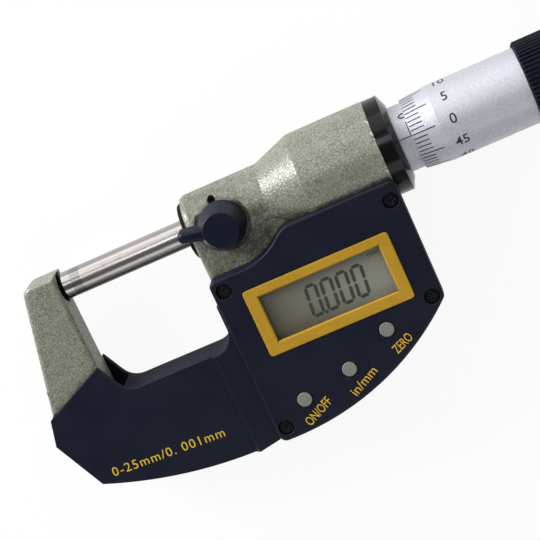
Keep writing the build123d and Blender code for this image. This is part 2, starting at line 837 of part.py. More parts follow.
# Circuit board in its tray, and the three dome switches on it
with BuildPart() as circuit_board:
    with BuildSketch(Plane.XY.offset(tray_top)) as board_outline:
        add(slab(0, board_left, board_right, -60, cover_top - free_gap))
        add(disc(0, board_r, deck_centre), mode=Mode.INTERSECT)
    extrude(amount=board_thickness)
circuit_board.part.label = "circuit_board"
export_step(circuit_board.part, "parts/circuit_board.step")

with BuildPart() as button_switches:
    with BuildSketch(Plane.XY.offset(board_top)) as switch_bodies:
        with Locations(*buttons_at):
            RectangleRounded(switch_side, switch_side, switch_corner_r)
    extrude(amount=switch_height)
    extrude(disc(board_top + switch_height, switch_dome_r, *buttons_at), amount=switch_dome)
button_switches.part.label = "button_switches"
export_step(button_switches.part, "parts/button_switches.step")

# Push buttons: domed cap, flange that holds it under the plate, and a stem over the switch
switch_top = board_top + switch_height + switch_dome
stem_bottom = switch_top + button_travel + slip_fit
flange_top = plate_under - slip_fit
for name, spot in zip(("power_button", "unit_button", "zero_button"), buttons_at):
    with BuildPart() as button:
        extrude(disc(flange_top, button_r, spot), amount=deck_height + button_proud - flange_top)
        fillet(button.edges().group_by(Axis.Z)[-1], button_edge_r)
        extrude(disc(flange_top - button_flange, button_flange_r, spot), amount=button_flange)
        extrude(disc(stem_bottom, button_stem_r, spot), amount=flange_top - stem_bottom)
    button.part.label = name
    export_step(button.part, f"parts/{name}.step")

# Housing screws, sunk in their counterbores
with BuildPart() as housing_screws:
    extrude(disc(head_base, screw_head_r, *housing_screws_at), amount=screw_head)
    fillet(housing_screws.edges().group_by(Axis.Z)[-1], screw_head_edge_r)
    extrude(disc(housing_screw_tip, screw_r, *housing_screws_at), amount=head_base - housing_screw_tip)
    cross_recess(head_base + screw_head, recess_half, recess_depth, *housing_screws_at)
housing_screws.part.label = "housing_screws"
export_step(housing_screws.part, "parts/housing_screws.step")

with BuildPart() as cover_screws:
    for face_z, spots in ((-cover_half, cover_screws_at), (-hump_depth, hump_screws_at)):
        extrude(disc(face_z + slip_fit, screw_head_r, *spots), amount=screw_head - slip_fit)
        extrude(disc(face_z + screw_head, screw_r, *spots), amount=cover_screw_tip - face_z - screw_head)
        cross_recess(face_z + slip_fit, recess_half, -recess_depth, *spots)
cover_screws.part.label = "cover_screws"
export_step(cover_screws.part, "parts/cover_screws.step")


# Battery, its contact leaf, and the coin-slot cap with two bayonet lugs and a seal
cap_disc_top = -hump_depth + cap_disc
battery_bottom = cap_disc_top + battery_lift
battery_top = battery_bottom + battery_height
with BuildPart() as battery:
    extrude(disc(battery_bottom, battery_r - battery_foot_inset, battery_at), amount=battery_edge)
    extrude(disc(battery_bottom + battery_edge, battery_r, battery_at), amount=battery_height - battery_edge)
    chamfer(battery.edges().group_by(Axis.Z)[-1], 0.7 * battery_edge)
battery.part.label = "battery"
export_step(battery.part, "parts/battery.step")

with BuildPart() as battery_contact:
    contact_plane = Plane(
        (battery_at[0], battery_at[1] + contact_offset, 0), x_dir=(1, 0, 0), z_dir=(0, -1, 0),
    )
    with BuildSketch(contact_plane) as leaf:
        with BuildLine():
            Polyline(
                (-contact_reach, tray_top - contact_sheet / 2),
                (0.7 * contact_reach, tray_top - contact_sheet / 2),
                (contact_reach, (tray_top + battery_top) / 2),
                (-0.6 * contact_reach, battery_top + 0.7 * contact_sheet),
                (-0.8 * contact_reach, battery_top + 3 * contact_sheet),
            )
        trace(line_width=contact_sheet)
    extrude(amount=contact_width)
battery_contact.part.label = "battery_contact"
export_step(battery_contact.part, "parts/battery_contact.step")

with BuildPart() as battery_cap:
    extrude(disc(-hump_depth, cap_r, battery_at), amount=cap_disc)
    extrude(disc(cap_disc_top, cap_r - cap_rim, battery_at), amount=cap_skirt)
    extrude(disc(cap_disc_top, cap_cup_r, battery_at), amount=cap_skirt, mode=Mode.SUBTRACT)
    lug_bottom = hump_floor + slip_fit
    with BuildSketch(Plane.XY.offset(lug_bottom)) as lugs:
        add(sectors(0, battery_at, cap_lug_r, 0, cap_lug_angle))
        with Locations(battery_at):
            Circle(cap_cup_r, mode=Mode.SUBTRACT)
    extrude(amount=cap_lug)
    groove_z = -hump_depth + cap_disc / 2
    groove_plane = Plane((*battery_at, groove_z), x_dir=(1, 0, 0), z_dir=(0, -1, 0))
    with BuildSketch(groove_plane) as groove:
        with Locations((cap_r - cap_rim, 0)):
            Circle(seal_cord_r + seat_fit)
    revolve(axis=Axis((*battery_at, 0), (0, 0, 1)), mode=Mode.SUBTRACT)
    with BuildSketch(Plane.XY.offset(-hump_depth)) as coin_slot:
        with Locations(Location((*battery_at, 0), (0, 0, 90))):
            SlotOverall(1.5 * cap_r, cap_slot)
    extrude(amount=cap_slot_depth, mode=Mode.SUBTRACT)
battery_cap.part.label = "battery_cap"
export_step(battery_cap.part, "parts/battery_cap.step")

with BuildPart() as battery_seal:
    with BuildSketch(groove_plane) as seal_section:
        with Locations((cap_r - cap_rim, 0)):
            Circle(seal_cord_r)
    revolve(axis=Axis((*battery_at, 0), (0, 0, 1)))
battery_seal.part.label = "battery_seal"
export_step(battery_seal.part, "parts/battery_seal.step")


# Sleeves: end collar, threaded guide with its slotted end, adjusting nut and graduated sleeve
with BuildPart() as end_collar:
    inner_r = sleeve_r + seat_fit
    turned(
        (flange_right + slip_fit, inner_r), (flange_right + slip_fit, encoder_bore_r - seat_fit),
        (barrel_right, encoder_bore_r - seat_fit), (barrel_right, collar_r), (collar_right, collar_r),
        (collar_nose, collar_nose_r), (collar_nose, inner_r),
    )
end_collar.part.label = "end_collar"
export_step(end_collar.part, "parts/end_collar.step")

guide_r = sleeve_r - sleeve_wall - seat_fit
with BuildPart() as guide_sleeve:
    turned(
        (flange_left, spindle_bore_r), (guide_right, spindle_bore_r), (guide_right, guide_neck_r),
        (guide_neck_left, guide_neck_r), (guide_neck_left, guide_r), (flange_right, guide_r),
        (flange_right, encoder_bore_r - seat_fit), (flange_left, encoder_bore_r - seat_fit),
    )
    with BuildSketch(Plane.YZ.offset(guide_slot_left)) as slots:
        with PolarLocations(0, 3):
            with Locations((nut_r / 2, 0)):
                Rectangle(nut_r, guide_slot)
    extrude(amount=guide_right - guide_slot_left, mode=Mode.SUBTRACT)
guide_sleeve.part.label = "guide_sleeve"
export_step(guide_sleeve.part, "parts/guide_sleeve.step")

with BuildPart() as adjusting_nut:
    turned(
        (nut_left, guide_neck_r + seat_fit), (nut_right, guide_neck_r + seat_fit), (nut_right, nut_r),
        (nut_left, nut_r),
    )
    with BuildSketch(Plane.YZ.offset(nut_right)) as notches:
        with PolarLocations(nut_r, 4):
            Rectangle(1.2, 1.4)
    extrude(amount=-1.6, mode=Mode.SUBTRACT)
adjusting_nut.part.label = "adjusting_nut"
export_step(adjusting_nut.part, "parts/adjusting_nut.step")

with BuildPart() as sleeve:
    turned(
        (sleeve_left, sleeve_r - sleeve_wall), (sleeve_right, sleeve_r - sleeve_wall),
        (sleeve_right, sleeve_r),
        (sleeve_left, sleeve_r),
    )
sleeve.part.label = "sleeve"
export_step(sleeve.part, "parts/sleeve.step")


# Rotary encoder in the barrel: fixed ring, turning disc on its hub, and the key in the spindle
stator_right = encoder_bore_left + stator_thickness
rotor_left = stator_right + encoder_gap
with BuildPart() as encoder_stator:
    turned(
        (encoder_bore_left, stator_bore_r), (stator_right, stator_bore_r),
        (stator_right, encoder_bore_r - seat_fit), (encoder_bore_left, encoder_bore_r - seat_fit),
    )
encoder_stator.part.label = "encoder_stator"
export_step(encoder_stator.part, "parts/encoder_stator.step")

with BuildPart() as encoder_rotor:
    turned(
        (encoder_bore_left + free_gap, spindle_bore_r), (rotor_right, spindle_bore_r),
        (rotor_right, rotor_hub_r),
        (rotor_left + rotor_disc, rotor_hub_r), (rotor_left + rotor_disc, rotor_disc_r),
        (rotor_left, rotor_disc_r),
        (rotor_left, rotor_hub_r), (encoder_bore_left + free_gap, rotor_hub_r),
    )
    with BuildSketch(Plane.XZ) as key_hole:
        with Locations((key_x, 0)):
            Circle(key_r + seat_fit)
    extrude(amount=encoder_bore_r, mode=Mode.SUBTRACT)
encoder_rotor.part.label = "encoder_rotor"
export_step(encoder_rotor.part, "parts/encoder_rotor.step")

with BuildPart() as rotor_key:
    with BuildSketch(Plane.XZ.offset(spindle_r - keyway_depth + slip_fit)) as key_end:
        with Locations((key_x, 0)):
            Circle(key_r)
    extrude(amount=rotor_hub_r - spindle_r + keyway_depth - slip_fit)
rotor_key.part.label = "rotor_key"
export_step(rotor_key.part, "parts/rotor_key.step")


# Thimble: thin bevelled skirt over the sleeve, closed by a web that clamps on the taper
thimble_bore_r = sleeve_r + slip_fit
with BuildPart() as thimble:
    turned(
        (thimble_left, thimble_bore_r), (thimble_left, thimble_lip_r), (bevel_right, thimble_r),
        (thimble_right, thimble_r), (thimble_right, taper_small_r + seat_fit),
        (web_left, taper_large_r + seat_fit),
        (web_left, thimble_bore_r),
    )
thimble.part.label = "thimble"
export_step(thimble.part, "parts/thimble.step")

with BuildPart() as thimble_grip:
    extrude(fluted_outline(grip_left, grip_r), amount=grip_right - grip_left)
    turned(
        (grip_left - 1, 0), (grip_right + 1, 0), (grip_right + 1, grip_r - 1.6),
        (grip_right - 0.6, grip_r + 0.1),
        (grip_left + 0.6, grip_r + 0.1), (grip_left, grip_r - 0.6), (grip_left - 1, grip_r - 0.6),
        mode=Mode.INTERSECT,
    )
    bored(grip_left - 1, thimble_right + grip_bore_end, thimble_r + seat_fit)
    bored(grip_left - 1, grip_right + 1, wheel_r + slip_fit)
thimble_grip.part.label = "thimble_grip"
export_step(thimble_grip.part, "parts/thimble_grip.step")


def crown_teeth(x, radius, depth, side):
    """Cut sawteeth into a face at x. The side is the way the cut goes along the axis."""
    half = radius * tan(pi / tooth_count)
    for index in range(tooth_count):
        turn = 2 * pi * index / tooth_count
        outward = (0, cos(turn), sin(turn))
        across = (0, -sin(turn), cos(turn))
        rim = Plane((x, radius * outward[1], radius * outward[2]), x_dir=across, z_dir=outward)
        with BuildSketch(rim) as gap:
            with BuildLine():
                Polyline((-half, 0), (half, 0), (-side * half, side * depth), close=True)
            make_face()
        loft([gap.sketch.face(), Vertex(x, 0, 0)], mode=Mode.SUBTRACT)


# Ratchet: toothed wheel on the stub, sliding pawl ring and spring in the knob, shouldered screw.
# The pawl ring is drawn where it slips, with its teeth just clear of the wheel's.
with BuildPart() as ratchet_wheel:
    turned(
        (thimble_right, stub_r + seat_fit), (wheel_right, stub_r + seat_fit), (wheel_right, wheel_r),
        (thimble_right, wheel_r),
    )
    crown_teeth(wheel_right, wheel_r + 1, tooth_height, -1)
ratchet_wheel.part.label = "ratchet_wheel"
export_step(ratchet_wheel.part, "parts/ratchet_wheel.step")

pawl_left = wheel_right + slip_fit
pawl_r = knob_bore_r - slip_fit
with BuildPart() as ratchet_pawl:
    turned(
        (pawl_left, stub_r + free_gap), (pawl_right, stub_r + free_gap), (pawl_right, pawl_r),
        (pawl_left, pawl_r),
    )
    with BuildSketch(Plane.YZ.offset(pawl_left + tooth_height)) as pawl_lugs:
        Rectangle(2 * (pawl_r + pawl_lug), 2 * pawl_lug)
        Circle(stub_r + free_gap, mode=Mode.SUBTRACT)
    extrude(amount=pawl_right - pawl_left - tooth_height)
    crown_teeth(pawl_left, wheel_r + 1, tooth_height, 1)
ratchet_pawl.part.label = "ratchet_pawl"
export_step(ratchet_pawl.part, "parts/ratchet_pawl.step")

with BuildPart() as ratchet_knob:
    extrude(fluted_outline(knob_left, knob_r), amount=knob_right - knob_left)
    turned(
        (knob_left, 0), (knob_right, 0), (knob_right, knob_r - 0.9), (knob_right - 0.9, knob_r),
        (knob_left + 0.6, knob_r), (knob_left, knob_r - 0.6), mode=Mode.INTERSECT,
    )
    bored(knob_left, knob_web_left, knob_bore_r)
    bored(knob_web_left, knob_right, shoulder_r + running_fit)
    bored(knob_web_left + knob_web, knob_right, ratchet_head_r + free_gap)
    with BuildSketch(Plane.YZ.offset(knob_left)) as lug_ways:
        Rectangle(2 * (pawl_r + pawl_lug + slip_fit), 2 * (pawl_lug + slip_fit))
    extrude(amount=knob_web_left - knob_left, mode=Mode.SUBTRACT)
ratchet_knob.part.label = "ratchet_knob"
export_step(ratchet_knob.part, "parts/ratchet_knob.step")

spring_r = (pawl_r + stub_r) / 2
spring_height = knob_web_left - pawl_right
with BuildPart() as ratchet_spring:
    with BuildLine() as coil:
        Helix(
            spring_height / spring_turns, spring_height, spring_r, center=(pawl_right, 0, 0),
            direction=(1, 0, 0),
        )
    with BuildSketch(Plane(coil.line @ 0, z_dir=coil.line % 0)) as wire:
        Circle(spring_wire_r)
    sweep(path=coil.line, is_frenet=True)
    turned(
        (pawl_right, 0), (knob_web_left, 0), (knob_web_left, knob_bore_r), (pawl_right, knob_bore_r),
        mode=Mode.INTERSECT,
    )
ratchet_spring.part.label = "ratchet_spring"
export_step(ratchet_spring.part, "parts/ratchet_spring.step")

head_left = knob_web_left + knob_web + slip_fit
with BuildPart() as ratchet_screw:
    turned(
        (stub_bore_left + 1, 0), (head_left + ratchet_head, 0),
        (head_left + ratchet_head, ratchet_head_r - 0.4),
        (head_left + ratchet_head - 0.4, ratchet_head_r), (head_left, ratchet_head_r),
        (head_left, shoulder_r),
        (stub_right, shoulder_r), (stub_right, stub_bore_r - seat_fit),
        (stub_bore_left + 1, stub_bore_r - seat_fit),
    )
    with BuildSketch(Plane.YZ.offset(head_left + ratchet_head)) as driver_slot:
        Rectangle(2.2 * ratchet_head_r, 0.9)
    extrude(amount=-0.9, mode=Mode.SUBTRACT)
ratchet_screw.part.label = "ratchet_screw"
export_step(ratchet_screw.part, "parts/ratchet_screw.step")
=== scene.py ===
from math import cos, pi, radians, sin

import bmesh
import bpy
from mathutils import Matrix, Vector


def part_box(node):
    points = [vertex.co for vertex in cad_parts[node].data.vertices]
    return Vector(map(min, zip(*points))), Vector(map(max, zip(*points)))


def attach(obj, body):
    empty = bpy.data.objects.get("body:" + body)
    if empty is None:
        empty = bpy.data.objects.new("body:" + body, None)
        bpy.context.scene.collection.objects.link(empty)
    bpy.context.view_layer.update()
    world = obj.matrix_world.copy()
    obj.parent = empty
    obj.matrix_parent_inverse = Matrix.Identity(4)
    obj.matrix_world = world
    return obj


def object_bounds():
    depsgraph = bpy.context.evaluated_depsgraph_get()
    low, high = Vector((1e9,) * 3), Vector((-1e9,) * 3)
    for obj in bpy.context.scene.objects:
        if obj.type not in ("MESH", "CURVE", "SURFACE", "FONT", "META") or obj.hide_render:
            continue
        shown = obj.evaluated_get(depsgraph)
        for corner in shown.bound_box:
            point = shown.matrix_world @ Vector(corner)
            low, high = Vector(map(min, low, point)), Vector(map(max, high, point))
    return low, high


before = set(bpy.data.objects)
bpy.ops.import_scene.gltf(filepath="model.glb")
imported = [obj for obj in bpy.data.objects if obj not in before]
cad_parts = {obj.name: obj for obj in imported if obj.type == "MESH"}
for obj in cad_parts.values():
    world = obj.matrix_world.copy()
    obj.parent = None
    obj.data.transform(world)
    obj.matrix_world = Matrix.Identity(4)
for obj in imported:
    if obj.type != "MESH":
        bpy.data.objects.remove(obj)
cad_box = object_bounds()

# Every size below is in millimetres, in the CAD's own frame: the origin is the anvil's face,
# +X runs along the spindle and +Z points out of the display.
MM = 0.001

# Camera, fitted to the photo
camera_place = (92.9555, 63.5955, 360.3648)
camera_turns = (("Y", 0.141), ("X", -0.2149), ("Z", -0.4352))
focal_pixels = 1605.45
photo_pixels = 540
sensor_width = 36.0
nearest_seen = 10.0

# Floor and sky. The sky is brightest at the horizon and dims upwards and towards the bow.
object_middle = (58.0, -15.0, 0.0)
floor_half_size = 2500.0
floor_white = (0.9, 0.9, 0.9)
floor_glow = 0.91
sky_horizon = 1.25
sky_zenith = 0.15
sky_front_share = 0.35

# Softboxes: where each stands, the point it faces, its width and height, and its watts
softboxes = {
    "overhead_softbox": ((-150.0, 690.0, 260.0), object_middle, (1100.0, 650.0), 2.3),
    "side_softbox": ((-423.0, 425.0, 253.0), (52.5, 4.9, 8.3), (200.0, 500.0), 5.6),
    "strip_softbox": ((-40.0, 280.0, 650.0), (40.0, 0.0, 0.0), (300.0, 160.0), 0.6),
    "fill_softbox": ((100.0, -450.0, 500.0), object_middle, (700.0, 300.0), 0.9),
}

# Colours, linear
enamel_cell = (0.222, 0.230, 0.184)
enamel_line = (0.078, 0.081, 0.052)
enamel_olive = (0.155, 0.158, 0.112)
# Dirt colour, also used for painted shade in the enamel's corners
grime_and_corner_shade = (0.042, 0.036, 0.024)
bare_dark = (0.06, 0.06, 0.055)
chip_pale = (0.50, 0.50, 0.46)
steel = (0.46, 0.43, 0.415)
steel_stain = (0.22, 0.20, 0.17)
hidden_steel = (0.52, 0.51, 0.50)
carbide = (0.33, 0.32, 0.31)
chrome = (0.575, 0.587, 0.635)
battery_steel = (0.70, 0.70, 0.68)
brass = (0.72, 0.52, 0.24)
navy = (0.0045, 0.0066, 0.0165)
# Paler navy for worn edges, partly a painted rim highlight
navy_worn_and_rim_light = (0.030, 0.037, 0.062)
# Paler navy for the lever's worn edges, partly painted glints on its bevel
lever_worn_and_glint = (0.06, 0.07, 0.105)
jet = (0.004, 0.004, 0.004)
jet_worn = (0.05, 0.05, 0.05)
metal_worn = (0.07, 0.07, 0.067)
rubber = (0.007, 0.007, 0.007)
rubber_worn = (0.02, 0.02, 0.02)
ochre = (0.40, 0.228, 0.018)
ochre_worn = (0.46, 0.28, 0.04)
key_grey = (0.185, 0.187, 0.168)
key_worn = (0.25, 0.255, 0.235)
window_clear = (0.30, 0.32, 0.30)
lcd_grey = (0.245, 0.245, 0.20)
lcd_shade = (0.105, 0.090, 0.058)
lcd_dark = (0.010, 0.010, 0.009)
board_green = (0.02, 0.12, 0.05)
board_pale = (0.025, 0.14, 0.06)
board_track = (0.06, 0.22, 0.09)
print_yellow = (0.60, 0.38, 0.02)
print_black = (0.012, 0.012, 0.014)


def toned(colour, share):
    """The colour, darker or lighter by a share."""
    return tuple(share * c for c in colour)


class Nodes:
    """A node tree, with short calls for the nodes that a pattern or a light is made of."""

    def __init__(self, tree):
        self.tree = tree

    def put(self, socket, value):
        """Link another node's output to the socket, or write a plain value on it."""
        if isinstance(value, bpy.types.NodeSocket):
            self.tree.links.new(value, socket)
        elif socket.type == "RGBA":
            socket.default_value = (*value, 1)
        else:
            socket.default_value = value

    def node(self, kind, inputs=(), **settings):
        """A new node with its first sockets filled."""
        made = self.tree.nodes.new("ShaderNode" + kind)
        for key, value in settings.items():
            setattr(made, key, value)
        for socket, value in zip(made.inputs, inputs):
            self.put(socket, value)
        return made

    def math(self, operation, first, second):
        return self.node("Math", (first, second), operation=operation).outputs[0]

    def add(self, first, second):
        return self.math("ADD", first, second)

    def times(self, first, second):
        return self.math("MULTIPLY", first, second)

    def larger(self, first, second):
        return self.math("MAXIMUM", first, second)

    def remap(self, value, between, gives=(0.0, 1.0), how="SMOOTHSTEP"):
        """Pass from one result to the other while the value goes between two bounds."""
        return self.node("MapRange", (value, *between, *gives), interpolation_type=how).outputs[0]


class Finish(Nodes):
    """A material, with a short call for each thing that its pattern is drawn from."""

    socket_names = {
        "colour": "Base Color", "roughness": "Roughness", "metallic": "Metallic", "alpha": "Alpha",
        "specular": "Specular IOR Level", "coat": "Coat Weight", "coat_roughness": "Coat Roughness",
        "normal": "Normal",
    }
    noise_middle = (0.3, 0.7)

    def __init__(self, name, **sockets):
        self.material = bpy.data.materials.new(name)
        self.material.use_nodes = True
        super().__init__(self.material.node_tree)
        self.shader = self.tree.nodes["Principled BSDF"]
        self.set(**sockets)

    def set(self, **sockets):
        for socket, value in sockets.items():
            self.put(self.shader.inputs[self.socket_names[socket]], value)

    def places(self, stretch=(1, 1, 1)):
        """The piece's own coordinates in millimetres, times a stretch along each axis."""
        here = self.node("TexCoord").outputs["Object"]
        return self.node("VectorMath", (here, [s / MM for s in stretch]), operation="MULTIPLY").outputs[0]

    def axis(self, letter, stretch=(1, 1, 1)):
        """One coordinate in millimetres."""
        return self.node("SeparateXYZ", (self.places(stretch),)).outputs["XYZ".index(letter)]

    def distance(self, middle):
        """How far the surface lies from an upright line through the middle, in millimetres."""
        flat = self.node("VectorMath", (self.places(), (1, 1, 0)), operation="MULTIPLY")
        return self.node("VectorMath", (flat.outputs[0], middle), operation="DISTANCE").outputs["Value"]

    def noise(self, per_mm, detail, stretch=(1, 1, 1), colour=False):
        made = self.node("TexNoise")
        self.put(made.inputs["Vector"], self.places(stretch))
        self.put(made.inputs["Scale"], per_mm)
        self.put(made.inputs["Detail"], detail)
        return made.outputs["Color" if colour else 0]

    def spread(self, noise, low, high):
        """Stretch the middle of a noise, where most of it lies, over low to high."""
        return self.remap(noise, self.noise_middle, (low, high))

    def blend(self, share, first, second):
        """The first colour where the share is 0 and the second where it is 1."""
        made = self.node("Mix", data_type="RGBA")
        factor, colours = made.inputs[0], [s for s in made.inputs if s.type == "RGBA"]
        for socket, value in zip((factor, *colours), (share, first, second)):
            self.put(socket, value)
        return next(s for s in made.outputs if s.type == "RGBA")

    def steepness(self):
        """How near the surface is to standing upright, from 0 to 1."""
        split = self.node("SeparateXYZ", (self.node("TexCoord").outputs["Normal"],))
        lean = self.math("ABSOLUTE", split.outputs["Z"], 0.0)
        return self.remap(lean, between=(0.30, 0.06))

    def crevices(self, reach, between=(0.85, 0.35)):
        """How deep in a corner the surface lies, from 0 to 1, read from ambient occlusion: the mask for
        painted corner shade.
        """
        made = self.node("AmbientOcclusion", samples=8)
        self.put(made.inputs["Distance"], reach * MM)
        return self.remap(made.outputs["AO"], between)

    def softened(self, radius):
        """The surface's direction with its sharp edges rounded over."""
        return self.node("Bevel", (radius * MM,), samples=6).outputs[0]

    def edges(self, radius):
        """How near the surface is to a sharp edge, from 0 to 1."""
        facing = self.node("NewGeometry").outputs["True Normal"]
        agreement = self.node("VectorMath", (self.softened(radius), facing), operation="DOT_PRODUCT")
        return self.remap(agreement.outputs["Value"], between=(0.99, 0.80))

    def relief(self, height, depth, normal=None):
        made = self.node("Bump")
        self.put(made.inputs["Height"], height)
        self.put(made.inputs["Distance"], depth * MM)
        if normal:
            self.put(made.inputs["Normal"], normal)
        return made.outputs[0]


def crackle_enamel():
    """Thick grey-green enamel that has shrunk into small domed cells with olive lines between them.

    It is grimy round the lock, darkened in its corners with painted shade, worn to the metal at the lever's
    foot and chipped at the collar.
    """
    cells_per_mm = 1.15
    cell_wander = (0.5, 0.5, 0.5)
    line_width = (0.07, 0.16)
    faintest_line = 0.2
    olive_share = 0.45
    dome_width, dome_depth, edge_radius = 0.30, 0.034, 0.35
    gloss_width, line_roughness, cell_roughness, upright_roughness = 0.12, 0.50, 0.30, 0.35
    lock_at, worn_r, worn_fringe, worn_wander = (37.6, 0.0, 0.0), 5.75, 0.35, (-0.35, 0.25)
    grimy_r, grimy_share = 14.0, 0.6
    grimiest_at, grimiest_r, grimiest_core_r = (43.8, -3.6, 0.0), 9.0, 2.5
    corner_shade_reach = 4.5
    cell_grime_and_shade_share, grime_and_shade_line_width = 0.6, 0.25
    chips_left, chip_fringe, chip_wander = 76.4, 0.15, (-1.7, 0.4)

    finish = Finish("crackle_enamel", specular=0.6, coat=0.3, coat_roughness=0.2)
    wander = (finish.noise(per_mm=1.6, detail=2, colour=True), cell_wander, finish.places())
    wandering = finish.node("VectorMath", wander, operation="MULTIPLY_ADD").outputs[0]
    cells = finish.node("TexVoronoi", feature="DISTANCE_TO_EDGE")
    tones = finish.node("TexVoronoi", feature="F1")
    for pattern in (cells, tones):
        finish.put(pattern.inputs["Vector"], wandering)
        finish.put(pattern.inputs["Scale"], cells_per_mm)
    from_line = cells.outputs["Distance"]
    tone = finish.node("SeparateColor", (tones.outputs["Color"],)).outputs[0]

    cell = finish.blend(finish.remap(tone, (0.0, 1.0), (0.0, olive_share)), enamel_cell, enamel_olive)
    clouds = finish.remap(finish.noise(per_mm=0.10, detail=3), (0.42, 0.70), (0.0, olive_share))
    cell = finish.blend(clouds, cell, enamel_olive)
    width = finish.spread(finish.noise(per_mm=0.5, detail=2), *line_width)
    faint = finish.remap(finish.noise(per_mm=0.22, detail=3), (0.35, 0.65), (0.0, faintest_line))
    paint = finish.blend(finish.remap(from_line, (0.0, width), (faint, 1.0)), enamel_line, cell)

    near_lock = finish.remap(finish.distance(lock_at), (grimy_r, worn_r), (0.0, grimy_share))
    grimiest = finish.remap(finish.distance(grimiest_at), (grimiest_r, grimiest_core_r))
    # Dirt near the lock, plus painted shade wherever ambient occlusion finds a corner, both in the same
    # dark colour
    dirt_and_corner_shade = finish.larger(finish.larger(near_lock, grimiest), finish.crevices(corner_shade_reach))
    patchy = finish.remap(finish.noise(per_mm=0.6, detail=5), (0.36, 0.60), (0.25, 1.0))
    settled = finish.remap(from_line, (0.0, grime_and_shade_line_width), (1.0, cell_grime_and_shade_share))
    paint = finish.blend(finish.times(finish.times(dirt_and_corner_shade, patchy), settled), paint, grime_and_corner_shade)

    wander = finish.remap(finish.noise(per_mm=1.1, detail=3), (0.2, 0.8), worn_wander)
    from_lock = finish.add(finish.distance(lock_at), wander)
    paint = finish.blend(finish.remap(from_lock, (worn_r + worn_fringe, worn_r)), paint, bare_dark)
    along = finish.add(finish.axis("X"), finish.spread(finish.noise(per_mm=0.8, detail=4), *chip_wander))
    chipped = finish.remap(along, (chips_left, chips_left + chip_fringe))
    paint = finish.blend(chipped, paint, chip_pale)

    height = finish.add(finish.remap(from_line, (0.0, dome_width)), finish.noise(per_mm=0.35, detail=2))
    gloss = finish.remap(from_line, (0.0, gloss_width), (line_roughness, cell_roughness))
    finish.set(
        colour=paint,
        roughness=finish.add(gloss, finish.times(finish.steepness(), upright_roughness)),
        normal=finish.relief(height, dome_depth, finish.softened(edge_radius)),
    )
    return finish.material


def satin_plating(name, colour, roughness):
    """Blasted and plated steel: an even fine grain with a few faint handling marks."""
    grain_depth, edge_radius = 0.05, 0.15
    grain_share, grain_tone = 0.4, 0.7
    grain_roughness, smudge_roughness = 0.05, 0.07
    finish = Finish(name, metallic=0.75)
    grain = finish.noise(per_mm=2.4, detail=3)
    smudge = finish.remap(finish.noise(per_mm=0.25, detail=3), (0.35, 0.75))
    smudged = finish.remap(smudge, (0.0, 1.0), (roughness, roughness + smudge_roughness))
    finish.set(
        colour=finish.blend(finish.spread(grain, 0.0, grain_share), colour, toned(colour, grain_tone)),
        roughness=finish.add(finish.spread(grain, -grain_roughness, grain_roughness), smudged),
        normal=finish.relief(grain, grain_depth, finish.softened(edge_radius)),
    )
    return finish.material


def ground_steel(name, colour, roughness, groove=None, painted_dark_reflection=False):
    """Steel ground on centres: fine rings round the spindle's axis, long rubbed streaks and faint stains.

    A groove is the left and right end of a blackened band. The last flag paints a dark reflection
    along the piece's flank towards the bow.
    """
    ring_share, ring_tone, ring_depth, ring_roughness = 0.08, 0.72, 0.0003, 0.01
    streak_share, streak_tone = 0.42, 0.6
    stain_share = 0.15
    dark_reflection_between, dark_reflection_share = (-2.1, -2.5), 0.95
    groove_fringe = 0.1
    finish = Finish(name, metallic=1.0)
    rings = finish.noise(per_mm=1.0, detail=3, stretch=(9, 0.35, 0.35))
    streaks = finish.noise(per_mm=1.0, detail=3, stretch=(0.05, 1.6, 1.6))
    stains = finish.remap(finish.noise(per_mm=0.3, detail=3), (0.54, 0.75))
    tone = finish.blend(finish.spread(rings, 0.0, ring_share), colour, toned(colour, ring_tone))
    streaked = finish.remap(streaks, (0.40, 0.62), (0.0, streak_share))
    tone = finish.blend(streaked, tone, toned(colour, streak_tone))
    tone = finish.blend(finish.times(stains, stain_share), tone, steel_stain)
    # Painted reflection: a dark band along the flank towards the bow, standing in for dark surroundings
    # mirrored in the steel
    if painted_dark_reflection:
        tone = finish.blend(finish.remap(finish.axis("Y"), dark_reflection_between, (0.0, dark_reflection_share)), tone, jet)
    if groove:
        along = finish.axis("X")
        left, right = groove
        right_of_left = finish.remap(along, (left - groove_fringe, left + groove_fringe))
        left_of_right = finish.remap(along, (right + groove_fringe, right - groove_fringe))
        tone = finish.blend(finish.times(right_of_left, left_of_right), tone, jet)
    finish.set(
        colour=tone,
        roughness=finish.spread(rings, roughness - ring_roughness, roughness + ring_roughness),
        normal=finish.relief(rings, ring_depth),
    )
    return finish.material


